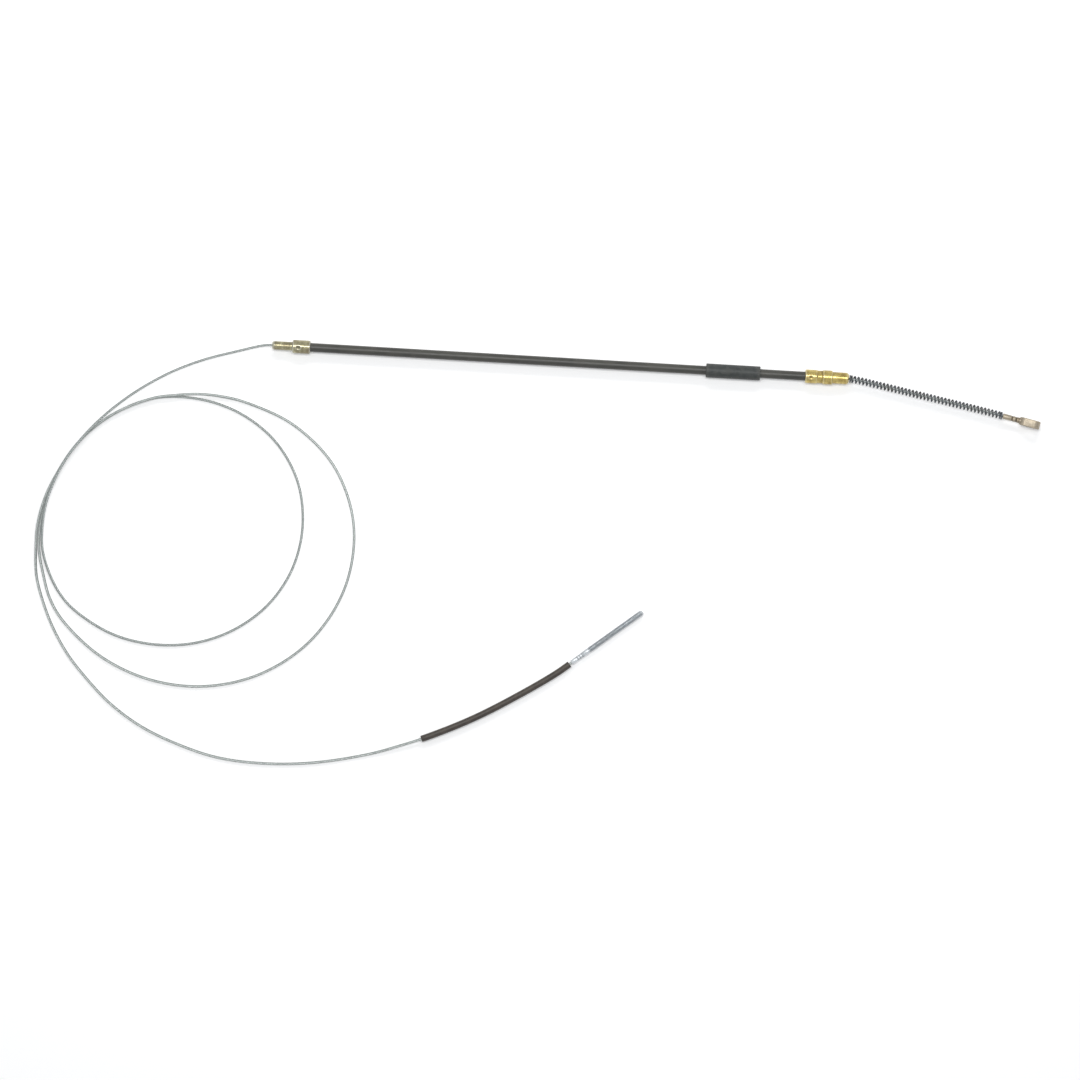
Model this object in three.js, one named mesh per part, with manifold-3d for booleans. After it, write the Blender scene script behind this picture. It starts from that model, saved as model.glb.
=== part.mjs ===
// Parking brake cable: a sheathed conduit with crimped ferrules, and a long wire that slides in it.
// Millimetres, +Z up. The conduit lies along X, and its front mouth is at the start of X.
import * as THREE from "three";
import { mergeVertices } from "three/addons/utils/BufferGeometryUtils.js";
import Module from "manifold-3d";

const wasm = await Module();
wasm.setup();

// Fit between pieces that touch on the real cable.
const gap = 0.3;

// Wire, liner, spiral and cover, from the inside out.
const wireRadius = 1.25;
const linerInner = wireRadius + gap;
const linerWall = 0.4;
const spiralInner = linerInner + linerWall + gap;
const spiralWall = 0.8;
const coverInner = spiralInner + spiralWall + gap;
const coverRadius = 4.45;

// Front ferrule: narrow nose, shoulder, wide barrel.
const frontNoseLength = 20.3;
const frontNoseRadius = 4.25;
const frontNoseChamfer = 1.1;
const frontBarrelEnd = 38.1;
const frontBarrelRadius = 6.65;
const frontShoulderChamfer = 0.6;
const frontLip = 0.7;
const socketDepth = 14;

// Rear ferrule: crimped barrel, waist, collar, nose.
const rearStart = 533.4;
const rearBarrelLength = 11.2;
const rearWaistLength = 7.2;
const rearWaistSlope = 1.6;
const rearCollarLength = 8.7;
const rearNoseLength = 16.5;
const rearWaistStart = rearStart + rearBarrelLength;
const rearWaistEnd = rearWaistStart + rearWaistLength;
const rearShoulder = rearWaistEnd + rearCollarLength;
const rearEnd = rearShoulder + rearNoseLength;
const rearBarrelRadius = 6.85;
const rearWaistRadius = 6.35;
const rearCollarRadius = 7.05;
const rearNoseRadius = 5.8;
const rearNoseChamfer = 1.6;
const rearLip = 0.9;
const edgeBreak = 0.35;

// Punched dents that lock each ferrule on the conduit. The first lies near the top.
const dentCount = 3;
const dentRadius = 3.4;
const dentDepth = 0.8;
const dentAngle = -10;
const frontDentX = frontNoseLength + 5.9;
const rearDentX = rearStart + 5.8;

// Rubber sleeve, the widest piece, on which the conduit lies.
const sleeveStart = 434.2;
const sleeveEnd = 488.3;
const sleeveRadius = 7.05;
const sleeveEdge = 0.5;
const axisHeight = sleeveRadius;

// Tail: the wire bends gently between the rear nose and the end fitting.
const tailPoints = [
  [rearEnd, 0],
  [rearEnd + 13, -1.7],
  [rearEnd + 37, -6.0],
  [rearEnd + 82, -14.3],
  [rearEnd + 128, -22.8],
  [rearEnd + 156, -28.3],
];
const fittingAngle = -11.8;

// Return spring round the tail.
const springRadius = 3.3;
const springWire = 0.7;
const springTurns = 43.5;
const springClosedTurns = 1.25;
const springClosedPitch = 1.75;
const springStepsPerTurn = 8;
const springSides = 5;

// End fitting: swaged stem and slotted eye.
const stemLength = 17.4;
const stemRadius = 2.75;
const stemBoreDepth = 14;
const crimpPositions = [9.6, 13.8];
const crimpHalfWidth = 1.1;
const crimpDepth = 0.35;
const stemLead = 0.8;
const eyeLength = 20.9;
const eyeWidth = 7.8;
const eyeHeight = 12.4;
const eyeWall = 3.0;
const eyeEdge = 0.5;
const eyeShoulder = 4.2;
const slotHeight = eyeHeight - 2 * eyeWall;

// Plastic sleeve and threaded rod at the far end of the wire.
const rodSleeveRadius = 3.25;
const rodSleeveInner = 1.75;
const rodSleeveLength = 169;
const rodRadius = 2.975;
const rodAngle = 38.8;
const rodStart = [317, -299.5];
const rodHeight = 3.2;
const rodLength = 87.3;
const rodSocketLength = 15.7;
const rodSocketRadius = 2.35;
const rodSocketEnd = 2.6;
const rodNeckLength = 5.2;
const rodNeckRadius = 2.68;
const rodChamfer = 0.9;
const rodBoreDepth = 6;
const rodGrooves = [7.4, 10.2, 13.0];
const rodGrooveDepth = 0.22;
const rodGrooveHalfWidth = 0.6;

// Facets of the turned and swept surfaces, fewer where they are hidden.
const radialSegments = 24;
const hiddenSegments = 16;
const dentSides = 12;
const dentRings = 8;
const eyeArcSegments = 8;
const cordSides = 8;
const cordSteps = 96;
const coreSteps = 60;
const sleeveSides = 12;
const sleeveSteps = 18;
const lengthSamples = 4000;

// Liner and spiral: small broken edges, and how far the liner's ends lie inside the noses.
const hiddenEdge = 0.1;
const linerInset = 8;

// Extra width of a cutting block past the faces that it cuts.
const overcut = 1;

// Points nearer to each other than this are one point.
const weldDistance = 1e-4;

// Heights of the wire where it lies on the ground, on one strand and on two.
const groundClearance = 0.06;
const low = wireRadius + groundClearance;
const mid = low + 2 * wireRadius + gap;
const high = mid + 2 * wireRadius + gap;
const sheathed = rodSleeveRadius + gap / 2;

// Route of the free wire from inside the front nose: arc, small loop, middle loop, outer arc, rod.
const cordStartX = 6;
const route = [
  [cordStartX, 0, axisHeight],
  [-7, -0.5, axisHeight],
  [-34, -7.9, 7],
  [-67.5, -18.5, 6.9],
  [-96, -31, high],
  [-120, -45, high],
  [-141, -60, high],
  [-159, -75.5, high],
  [-175, -92, high],
  [-189, -109.5, high],
  [-201, -128, high],
  [-210, -148.5, 6.7],
  [-216.4, -170, 6.4],
  [-219, -193, 5.3],
  [-218, -216, 3.6],
  [-210.5, -238.5, 2.2],
  [-199, -259, low],
  [-183, -275.5, low],
  [-143.5, -297.5, low],
  [-101, -305.5, low],
  [-59.5, -301.5, low],
  [-21, -285.5, low],
  [11.5, -258, low],
  [33, -221, low],
  [40.5, -177.5, low],
  [32.5, -133.5, low],
  [8, -95.5, low],
  [-29, -69.5, low],
  [-72, -57.7, low],
  [-116.5, -60, low],
  [-156.5, -79, low],
  [-189, -109, low],
  [-211, -148, low],
  [-218, -170, low],
  [-221.6, -193, low],
  [-221.5, -217, low],
  [-216, -241, low],
  [-208, -265, low],
  [-194, -286.5, low],
  [-154.5, -320, low],
  [-105, -340.5, low],
  [-49, -344.5, low],
  [7.5, -328.5, low],
  [56, -291.5, low],
  [86.5, -237, low],
  [91.5, -175, low],
  [69, -118, low],
  [26, -78.5, low],
  [-23.5, -58.5, 1.4],
  [-47.5, -54, 2.3],
  [-71.5, -53, 3.4],
  [-94.5, -55.5, mid],
  [-116.5, -59.8, mid],
  [-156.7, -79, mid],
  [-189, -109, mid],
  [-211.5, -148, 3.95],
  [-219.6, -169.7, 3.8],
  [-224.2, -193, 3.3],
  [-224.5, -217.5, 2.8],
  [-222.5, -243, 1.6],
  [-214.5, -269, low],
  [-203, -294.5, low],
  [-187, -320, low],
  [-166.5, -343.5, low],
  [-141.5, -367, low],
  [-110.5, -387.5, low],
  [-74, -403, low],
  [-32.5, -414.5, low],
  [13.5, -418, low],
  [64, -414.5, low],
  [118.5, -403, low],
  [150, -392.5, 2.8],
  [178.5, -381.5, sheathed],
  [222, -361, sheathed],
  [263.5, -336.8, sheathed],
  [302.8, -310.9, 3.3],
  [320.1, -297, rodHeight],
];

function solidOf(geometry) {
  const bare = geometry.index ? geometry.toNonIndexed() : geometry.clone();
  bare.deleteAttribute("normal");
  bare.deleteAttribute("uv");
  const merged = mergeVertices(bare, weldDistance);
  return new wasm.Manifold(
    new wasm.Mesh({
      numProp: 3,
      vertProperties: new Float32Array(merged.attributes.position.array),
      triVerts: new Uint32Array(merged.index.array),
    }),
  );
}

function geometryOf(solid) {
  const mesh = solid.getMesh();
  const positions = new Float32Array(mesh.vertProperties);
  const triangles = new Uint32Array(mesh.triVerts);
  const geometry = new THREE.BufferGeometry();
  geometry.setAttribute("position", new THREE.BufferAttribute(positions, 3));
  geometry.setIndex(new THREE.BufferAttribute(triangles, 1));
  const flat = geometry.toNonIndexed();
  flat.computeVertexNormals();
  return flat;
}

// A closed [x, radius] outline turned round the X axis.
function turned(outline, segments = radialSegments) {
  const points = outline.map(([x, radius]) => new THREE.Vector2(radius, x));
  points.push(points[0].clone());
  return new THREE.LatheGeometry(points, segments).rotateZ(-Math.PI / 2);
}

// A straight tube along X with broken outer edges.
function pipe(start, end, inner, outer, edge, segments) {
  const outline = [
    [start, inner],
    [start, outer - edge],
    [start + edge, outer],
    [end - edge, outer],
    [end, outer - edge],
    [end, inner],
  ];
  return turned(outline, segments);
}

function polygon(path, radius, sides) {
  for (let i = 0; i < sides; i++) {
    const angle = (2 * Math.PI * (i + 0.5)) / sides;
    const x = radius * Math.cos(angle);
    const y = radius * Math.sin(angle);
    if (i === 0) path.moveTo(x, y);
    else path.lineTo(x, y);
  }
  path.closePath();
  return path;
}

// A round section swept along a curve, with an optional bore.
function swept(curve, radius, sides, steps, bore = 0) {
  const section = polygon(new THREE.Shape(), radius, sides);
  if (bore > 0) section.holes.push(polygon(new THREE.Path(), bore, sides));
  return new THREE.ExtrudeGeometry(section, { steps, extrudePath: curve, bevelEnabled: false });
}

// Part of a longer curve, between two distances along it.
class Stretch extends THREE.Curve {
  constructor(whole, from, to) {
    super();
    this.whole = whole;
    this.from = from;
    this.to = to;
  }
  getPoint(t) {
    const distance = this.from + (this.to - this.from) * t;
    return this.whole.getPointAt(distance / this.whole.getLength());
  }
}

// A helix round a curve that lies in a level plane, with closed turns at both ends.
class Coil extends THREE.Curve {
  constructor(axis, from, to) {
    super();
    this.axis = axis;
    this.from = from;
    this.to = to;
    this.arcLengthDivisions = lengthSamples;
  }
  advance(turn) {
    const closed = Math.min(turn, springClosedTurns) * springClosedPitch;
    const far = Math.max(0, turn - (springTurns - springClosedTurns)) * springClosedPitch;
    const openTurns = springTurns - 2 * springClosedTurns;
    const openLength = this.to - this.from - 2 * springClosedTurns * springClosedPitch;
    const opened = Math.min(Math.max(turn - springClosedTurns, 0), openTurns);
    return closed + far + (opened / openTurns) * openLength;
  }
  getPoint(t) {
    const turn = t * springTurns;
    const share = (this.from + this.advance(turn)) / this.axis.getLength();
    const centre = this.axis.getPointAt(share);
    const along = this.axis.getTangentAt(share);
    const side = new THREE.Vector3(-along.y, along.x, 0).normalize();
    const angle = 2 * Math.PI * turn;
    return centre
      .addScaledVector(side, springRadius * Math.cos(angle))
      .add(new THREE.Vector3(0, 0, springRadius * Math.sin(angle)));
  }
}

// Rounded pockets punched into a ferrule, evenly round it.
function punched(ferrule, x, radius) {
  let result = ferrule;
  for (let i = 0; i < dentCount; i++) {
    const angle = THREE.MathUtils.degToRad(dentAngle + (360 / dentCount) * i);
    const reach = radius + dentRadius - dentDepth;
    const ball = new THREE.SphereGeometry(dentRadius, dentSides, dentRings);
    ball.translate(x, reach * Math.sin(angle), reach * Math.cos(angle));
    result = result.subtract(solidOf(ball));
  }
  return result;
}

function frontFerrule() {
  const bore = linerInner + linerWall + gap;
  const socket = coverRadius + gap;
  const socketX = frontBarrelEnd - socketDepth;
  const outline = [
    [0, bore],
    [0, frontNoseRadius - frontNoseChamfer],
    [frontNoseChamfer, frontNoseRadius - edgeBreak],
    [2 * frontNoseChamfer, frontNoseRadius],
    [frontNoseLength, frontNoseRadius],
    [frontNoseLength, frontBarrelRadius - frontShoulderChamfer],
    [frontNoseLength + frontShoulderChamfer, frontBarrelRadius],
    [frontBarrelEnd - frontLip, frontBarrelRadius],
    [frontBarrelEnd, frontBarrelRadius - frontLip],
    [frontBarrelEnd, socket],
    [socketX, socket],
    [socketX, bore],
  ];
  return punched(solidOf(turned(outline)), frontDentX, frontBarrelRadius);
}

function rearFerrule() {
  const bore = linerInner + linerWall + gap;
  const socket = coverRadius + gap;
  const socketX = rearStart + socketDepth;
  const outline = [
    [rearStart, socket],
    [rearStart, rearBarrelRadius - rearLip],
    [rearStart + rearLip, rearBarrelRadius],
    [rearWaistStart, rearBarrelRadius],
    [rearWaistStart + rearWaistSlope, rearWaistRadius],
    [rearWaistEnd - rearWaistSlope, rearWaistRadius],
    [rearWaistEnd, rearCollarRadius],
    [rearShoulder - edgeBreak, rearCollarRadius],
    [rearShoulder, rearCollarRadius - edgeBreak],
    [rearShoulder, rearNoseRadius],
    [rearEnd - rearNoseChamfer, rearNoseRadius],
    [rearEnd, rearNoseRadius - rearNoseChamfer],
    [rearEnd, bore],
    [socketX, bore],
    [socketX, socket],
  ];
  return punched(solidOf(turned(outline)), rearDentX, rearBarrelRadius);
}

// A stem with crimp grooves, as an outline from the mouth to the far end.
function groovedOutline(grooves, radiusAt, depth, halfWidth) {
  const outline = [];
  for (const x of grooves) {
    outline.push([x - halfWidth, radiusAt(x)]);
    outline.push([x - halfWidth / 2, radiusAt(x) - depth]);
    outline.push([x + halfWidth / 2, radiusAt(x) - depth]);
    outline.push([x + halfWidth, radiusAt(x)]);
  }
  return outline;
}

// The end fitting along X from its mouth, before it is turned to the tail's direction.
function endEye() {
  const bore = wireRadius + gap;
  const stemEnd = stemLength + eyeShoulder;
  const stemOutline = [
    [0, bore],
    [0, stemRadius - edgeBreak],
    [stemLead, stemRadius],
    ...groovedOutline(crimpPositions, () => stemRadius, crimpDepth, crimpHalfWidth),
    [stemLength - edgeBreak, stemRadius],
    [stemLength + edgeBreak, eyeWidth / 2 - edgeBreak],
    [stemEnd, eyeWidth / 2 - edgeBreak],
    [stemEnd, 0],
    [stemBoreDepth, 0],
    [stemBoreDepth, bore],
  ];
  const stem = solidOf(turned(stemOutline));
  const half = eyeHeight / 2;
  const outline = new THREE.Shape();
  outline.absarc(half, 0, half, Math.PI / 2, (3 * Math.PI) / 2, false);
  outline.absarc(eyeLength - half, 0, half, -Math.PI / 2, Math.PI / 2, false);
  outline.closePath();
  const slotStart = eyeShoulder + slotHeight / 2;
  const slotEnd = eyeLength - eyeWall - slotHeight / 2;
  const slot = new THREE.Path();
  slot.absarc(slotStart, 0, slotHeight / 2, Math.PI / 2, (3 * Math.PI) / 2, false);
  slot.absarc(slotEnd, 0, slotHeight / 2, -Math.PI / 2, Math.PI / 2, false);
  slot.closePath();
  outline.holes.push(slot);
  const loop = new THREE.ExtrudeGeometry(outline, {
    depth: eyeWidth - 2 * eyeEdge,
    bevelEnabled: true,
    bevelThickness: eyeEdge,
    bevelSize: eyeEdge,
    bevelOffset: -eyeEdge,
    bevelSegments: 1,
    curveSegments: eyeArcSegments,
  });
  loop.translate(stemLength, 0, -(eyeWidth - 2 * eyeEdge) / 2);
  loop.rotateX(Math.PI / 2);
  const clear = new THREE.BoxGeometry(eyeLength, eyeWidth + overcut, slotHeight);
  clear.translate(stemLength + slotStart + eyeLength / 2, 0, 0);
  return stem.subtract(solidOf(clear)).add(solidOf(loop));
}

// The threaded rod along X from the mouth of its swaged socket.
function threadedRod() {
  const bore = wireRadius + gap;
  const widen = (x) => rodSocketRadius + ((rodSocketEnd - rodSocketRadius) * x) / rodSocketLength;
  const neckEnd = rodSocketLength + rodNeckLength;
  const outline = [
    [0, bore],
    [0, rodSocketRadius],
    ...groovedOutline(rodGrooves, widen, rodGrooveDepth, rodGrooveHalfWidth),
    [rodSocketLength, rodSocketEnd],
    [rodSocketLength, rodNeckRadius],
    [neckEnd, rodNeckRadius],
    [neckEnd + edgeBreak, rodRadius],
    [rodLength - rodChamfer, rodRadius],
    [rodLength, rodRadius - rodChamfer],
    [rodLength, 0],
    [rodBoreDepth, 0],
    [rodBoreDepth, bore],
  ];
  return solidOf(turned(outline));
}

const cable = new THREE.Group();
cable.name = "parking_brake_cable";

const finishes = {
  cover: { color: 0x55544e, roughness: 0.5, metalness: 0 },
  spiral: { color: 0x9a9a98, roughness: 0.4, metalness: 1 },
  liner: { color: 0xd8d6cc, roughness: 0.4, metalness: 0 },
  zinc: { color: 0xb8b298, roughness: 0.35, metalness: 0.9 },
  yellowZinc: { color: 0xd0b870, roughness: 0.3, metalness: 0.9 },
  rubber: { color: 0x3c3d3a, roughness: 0.7, metalness: 0 },
  spring: { color: 0x6d7276, roughness: 0.4, metalness: 0.9 },
  wire: { color: 0x9da09c, roughness: 0.4, metalness: 0.9 },
  brownPlastic: { color: 0x4b4238, roughness: 0.55, metalness: 0 },
  brightSteel: { color: 0xb4babc, roughness: 0.35, metalness: 0.9 },
  tanSteel: { color: 0x9c8f78, roughness: 0.45, metalness: 0.85 },
};

function place(name, geometry, finish) {
  const mesh = new THREE.Mesh(geometry, new THREE.MeshStandardMaterial(finish));
  mesh.name = name;
  cable.add(mesh);
}

// The sheathed pieces share the conduit's axis.
function placeOnAxis(name, geometry, finish) {
  place(name, geometry.translate(0, 0, axisHeight), finish);
}

const coverStart = frontBarrelEnd - socketDepth + gap;
const coverEnd = rearStart + socketDepth - gap;
const cover = pipe(coverStart, coverEnd, coverInner, coverRadius, edgeBreak);
placeOnAxis("conduit_cover", cover, finishes.cover);

const spiralOuter = spiralInner + spiralWall;
const spiral = pipe(coverStart, coverEnd, spiralInner, spiralOuter, hiddenEdge, hiddenSegments);
placeOnAxis("conduit_spiral", spiral, finishes.spiral);

const linerEnd = rearEnd - linerInset;
const linerOuter = linerInner + linerWall;
const liner = pipe(linerInset, linerEnd, linerInner, linerOuter, hiddenEdge, hiddenSegments);
placeOnAxis("conduit_liner", liner, finishes.liner);

placeOnAxis("front_ferrule", geometryOf(frontFerrule()), finishes.zinc);
placeOnAxis("rear_ferrule", geometryOf(rearFerrule()), finishes.yellowZinc);

const sleeve = pipe(sleeveStart, sleeveEnd, coverRadius + gap, sleeveRadius, sleeveEdge);
placeOnAxis("conduit_sleeve", sleeve, finishes.rubber);

const fittingTurn = THREE.MathUtils.degToRad(fittingAngle);
const [fittingX, fittingY] = tailPoints[tailPoints.length - 1];
const insideStem = stemBoreDepth - gap;
const tail = new THREE.CatmullRomCurve3([
  ...tailPoints.map(([x, y]) => new THREE.Vector3(x, y, axisHeight)),
  new THREE.Vector3(
    fittingX + insideStem * Math.cos(fittingTurn),
    fittingY + insideStem * Math.sin(fittingTurn),
    axisHeight,
  ),
]);
const tailLength = tail.getLength();
const springEnd = tailLength - insideStem - springWire - gap;
const springSteps = Math.round(springTurns * springStepsPerTurn);
const coil = new Coil(tail, springWire + gap, springEnd);
place("return_spring", swept(coil, springWire, springSides, springSteps), finishes.spring);

// The sheathed part of the wire is straight, then it follows the tail into the stem.
class Core extends THREE.Curve {
  getPoint(t) {
    const straight = rearEnd - cordStartX - gap;
    const distance = t * (straight + tailLength);
    if (distance < straight) {
      return new THREE.Vector3(cordStartX + gap + distance, 0, axisHeight);
    }
    return tail.getPointAt(Math.min(1, (distance - straight) / tailLength));
  }
}
place("inner_wire", swept(new Core(), wireRadius, cordSides, coreSteps), finishes.wire);

const cord = new THREE.CatmullRomCurve3(route.map(([x, y, z]) => new THREE.Vector3(x, y, z)));
cord.arcLengthDivisions = lengthSamples;
place("wire_free_run", swept(cord, wireRadius, cordSides, cordSteps), finishes.wire);

// The plastic sleeve ends just before the rod's mouth.
const [wireEndX, wireEndY] = route[route.length - 1];
const inSocket = Math.hypot(wireEndX - rodStart[0], wireEndY - rodStart[1]);
const sleeveTo = cord.getLength() - inSocket - gap;
const sleevePath = new Stretch(cord, sleeveTo - rodSleeveLength, sleeveTo);
const rodSleeve = swept(sleevePath, rodSleeveRadius, sleeveSides, sleeveSteps, rodSleeveInner);
place("rod_sleeve", rodSleeve, finishes.brownPlastic);

const rod = geometryOf(threadedRod());
rod.rotateZ(THREE.MathUtils.degToRad(rodAngle));
rod.translate(rodStart[0], rodStart[1], rodHeight);
place("threaded_rod", rod, finishes.brightSteel);

const eye = geometryOf(endEye());
eye.rotateZ(fittingTurn);
eye.translate(fittingX, fittingY, axisHeight);
place("end_eye", eye, finishes.tanSteel);

// The origin is under the middle of the cable without the free wire and what is on it.
const loose = ["wire_free_run", "rod_sleeve", "threaded_rod"];
const bounds = new THREE.Box3();
cable.children
  .filter((mesh) => !loose.includes(mesh.name))
  .forEach((mesh) => bounds.expandByObject(mesh));
const middle = bounds.getCenter(new THREE.Vector3());
cable.position.set(-middle.x, -middle.y, -bounds.min.z);

export default cable;
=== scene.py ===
import math
import bmesh
import bpy
from mathutils import Matrix, Vector


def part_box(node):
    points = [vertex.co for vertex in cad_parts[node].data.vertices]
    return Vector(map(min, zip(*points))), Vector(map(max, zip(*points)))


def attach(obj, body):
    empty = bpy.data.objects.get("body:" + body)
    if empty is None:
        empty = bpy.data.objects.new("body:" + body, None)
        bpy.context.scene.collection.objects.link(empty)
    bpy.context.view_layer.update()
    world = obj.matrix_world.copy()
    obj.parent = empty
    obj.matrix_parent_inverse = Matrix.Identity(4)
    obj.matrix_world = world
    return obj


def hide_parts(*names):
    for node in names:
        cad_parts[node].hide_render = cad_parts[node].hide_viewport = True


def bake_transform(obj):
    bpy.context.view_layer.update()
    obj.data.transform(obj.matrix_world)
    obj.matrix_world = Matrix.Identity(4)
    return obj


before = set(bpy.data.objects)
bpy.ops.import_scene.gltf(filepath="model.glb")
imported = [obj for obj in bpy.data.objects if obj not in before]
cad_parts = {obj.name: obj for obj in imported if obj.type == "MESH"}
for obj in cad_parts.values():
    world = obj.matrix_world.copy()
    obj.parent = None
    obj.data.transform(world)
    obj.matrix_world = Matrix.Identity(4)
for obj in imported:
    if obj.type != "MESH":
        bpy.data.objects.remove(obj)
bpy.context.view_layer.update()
scene = bpy.context.scene
print("frame loaded")

# Where the front mouth's centre lies in the row's frame, on the ground
noseLow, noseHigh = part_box("front_ferrule")
mouth = Vector((noseLow.x, (noseLow.y + noseHigh.y) / 2, 0))
axisHeight = 0.00705
rearEnd = 0.577
wireRadius = 0.00125


def placed(point):
    return mouth + Vector(point)


# Camera straight above, as in the photograph: the picture is 1.08 m wide and turned a little
cameraSettings = {"across": 1.08, "lens": 180, "middle": (0.2784, -0.1789, 0.004), "roll": 3.33}
cameraData = bpy.data.cameras.new("camera")
cameraData.lens = cameraSettings["lens"]
cameraData.clip_end = 50
camera = bpy.data.objects.new("camera", cameraData)
scene.collection.objects.link(camera)
cameraDistance = cameraSettings["across"] * cameraSettings["lens"] / cameraData.sensor_width
camera.location = placed(cameraSettings["middle"]) + Vector((0, 0, cameraDistance))
camera.rotation_euler = (0, 0, math.radians(cameraSettings["roll"]))
scene.camera = camera
scene.view_settings.view_transform = "Standard"

# Shared mesh tools


def markEdges(bm, rounds=2):
    # Each vertex keeps how far the surface turns there: above zero on an edge, below in a corner
    layer = bm.verts.layers.float.new("edge")
    for v in bm.verts:
        v[layer] = sum(e.calc_face_angle_signed(0) for e in v.link_edges if e.is_manifold)
    for _ in range(rounds):
        means = []
        for v in bm.verts:
            near = [e.other_vert(v)[layer] for e in v.link_edges]
            means.append((v[layer] + sum(near)) / (1 + len(near)))
        for v, mean in zip(bm.verts, means):
            v[layer] = mean


def finishMesh(bm, name, sharpAngle=35):
    bmesh.ops.remove_doubles(bm, verts=bm.verts, dist=1e-6)
    bmesh.ops.recalc_face_normals(bm, faces=bm.faces)
    markEdges(bm)
    mesh = bpy.data.meshes.new(name)
    bm.to_mesh(mesh)
    bm.free()
    mesh.polygons.foreach_set("use_smooth", [True] * len(mesh.polygons))
    mesh.set_sharp_from_angle(angle=math.radians(sharpAngle))
    piece = bpy.data.objects.new(name, mesh)
    scene.collection.objects.link(piece)
    return piece


def roundEdges(bm, minimumAngle, width, segments=2):
    limit = math.radians(minimumAngle)
    sharp = [e for e in bm.edges if len(e.link_faces) == 2 and e.calc_face_angle() > limit]
    bmesh.ops.bevel(bm, geom=sharp, offset=width, offset_type="OFFSET", segments=segments,
                    profile=0.5, affect="EDGES", material=-1, clamp_overlap=True)


def spunMesh(outline, steps, edge=0.0, closed=True):
    # An (x, radius) outline turned round the X axis, its corners rounded
    bm = bmesh.new()
    verts = [bm.verts.new((x, 0, radius)) for x, radius in outline]
    pairs = list(zip(verts, verts[1:])) + ([(verts[-1], verts[0])] if closed else [])
    edges = [bm.edges.new(pair) for pair in pairs]
    bmesh.ops.spin(bm, geom=verts + edges, cent=(0, 0, 0), axis=(1, 0, 0), angle=2 * math.pi,
                   steps=steps, use_merge=True)
    bmesh.ops.remove_doubles(bm, verts=bm.verts, dist=1e-6)
    bmesh.ops.recalc_face_normals(bm, faces=bm.faces)
    if edge > 0:
        roundEdges(bm, 25, edge)
    return bm


def smoothStep(value):
    value = min(1.0, max(0.0, value))
    return value * value * (3 - 2 * value)


def splinePoints(knots, spacing):
    # A centripetal curve through the knots, resampled at even distances
    knots = [Vector(k) for k in knots]
    ends = [knots[0] * 2 - knots[1]] + knots + [knots[-1] * 2 - knots[-2]]
    fine = []
    for i in range(len(knots) - 1):
        a, b, c, d = ends[i:i + 4]
        ab = max((b - a).length ** 0.5, 1e-6)
        bc = max((c - b).length ** 0.5, 1e-6)
        cd = max((d - c).length ** 0.5, 1e-6)
        startSlope = ((b - a) / ab - (c - a) / (ab + bc) + (c - b) / bc) * bc
        endSlope = ((c - b) / bc - (d - b) / (bc + cd) + (d - c) / cd) * bc
        count = max(4, int((c - b).length / spacing * 2))
        for step in range(count):
            t = step / count
            fine.append(b * (2 * t ** 3 - 3 * t ** 2 + 1) + startSlope * (t ** 3 - 2 * t ** 2 + t)
                        + c * (3 * t ** 2 - 2 * t ** 3) + endSlope * (t ** 3 - t ** 2))
    fine.append(knots[-1])
    lengths = [0.0]
    for before, after in zip(fine, fine[1:]):
        lengths.append(lengths[-1] + (after - before).length)
    total = lengths[-1]
    wanted = max(2, round(total / spacing))
    points = []
    at = 0
    for n in range(wanted + 1):
        distance = total * n / wanted
        while at < len(lengths) - 2 and lengths[at + 1] < distance:
            at += 1
        share = (distance - lengths[at]) / max(lengths[at + 1] - lengths[at], 1e-9)
        points.append(fine[at].lerp(fine[at + 1], min(1.0, share)))
    return points, total


def sweptPiece(name, points, radius=None, profile=None, tilts=None, sides=6, sharpAngle=60, caps=True):
    # A curve with a round or given section, made a mesh
    data = bpy.data.curves.new(name, "CURVE")
    data.dimensions = "3D"
    data.twist_mode = "MINIMUM"
    data.use_fill_caps = caps
    if profile is None:
        data.bevel_depth = radius
        data.bevel_resolution = sides
    else:
        data.bevel_mode = "OBJECT"
        data.bevel_object = profile
    line = data.splines.new("POLY")
    line.points.add(len(points) - 1)
    for point, place in zip(line.points, points):
        point.co = (*place, 1)
    if tilts is not None:
        for point, tilt in zip(line.points, tilts):
            point.tilt = tilt
    line.use_smooth = True
    curve = bpy.data.objects.new(name + "_line", data)
    scene.collection.objects.link(curve)
    bpy.context.view_layer.update()
    shape = curve.evaluated_get(bpy.context.evaluated_depsgraph_get())
    mesh = bpy.data.meshes.new_from_object(shape)
    bpy.data.objects.remove(curve)
    bm = bmesh.new()
    bm.from_mesh(mesh)
    bpy.data.meshes.remove(mesh)
    return finishMesh(bm, name, sharpAngle)


# Materials: colour, finish and small relief from noise in the piece's own coordinates


def nodesOf(material):
    material.use_nodes = True
    tree = material.node_tree
    return tree, tree.nodes["Principled BSDF"]


def addBump(tree, shader, height, strength, distance):
    bump = tree.nodes.new("ShaderNodeBump")
    bump.inputs["Strength"].default_value = strength
    bump.inputs["Distance"].default_value = distance
    tree.links.new(height, bump.inputs["Height"])
    tree.links.new(bump.outputs["Normal"], shader.inputs["Normal"])


def addNoise(tree, scale, detail=4.0, stretch=None, distortion=0.0):
    place = tree.nodes.new("ShaderNodeTexCoord").outputs["Object"]
    if stretch is not None:
        mapping = tree.nodes.new("ShaderNodeMapping")
        mapping.inputs["Scale"].default_value = stretch
        tree.links.new(place, mapping.inputs["Vector"])
        place = mapping.outputs["Vector"]
    noise = tree.nodes.new("ShaderNodeTexNoise")
    noise.inputs["Scale"].default_value = scale
    noise.inputs["Detail"].default_value = detail
    noise.inputs["Distortion"].default_value = distortion
    tree.links.new(place, noise.inputs["Vector"])
    return noise.outputs["Fac"]


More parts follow.
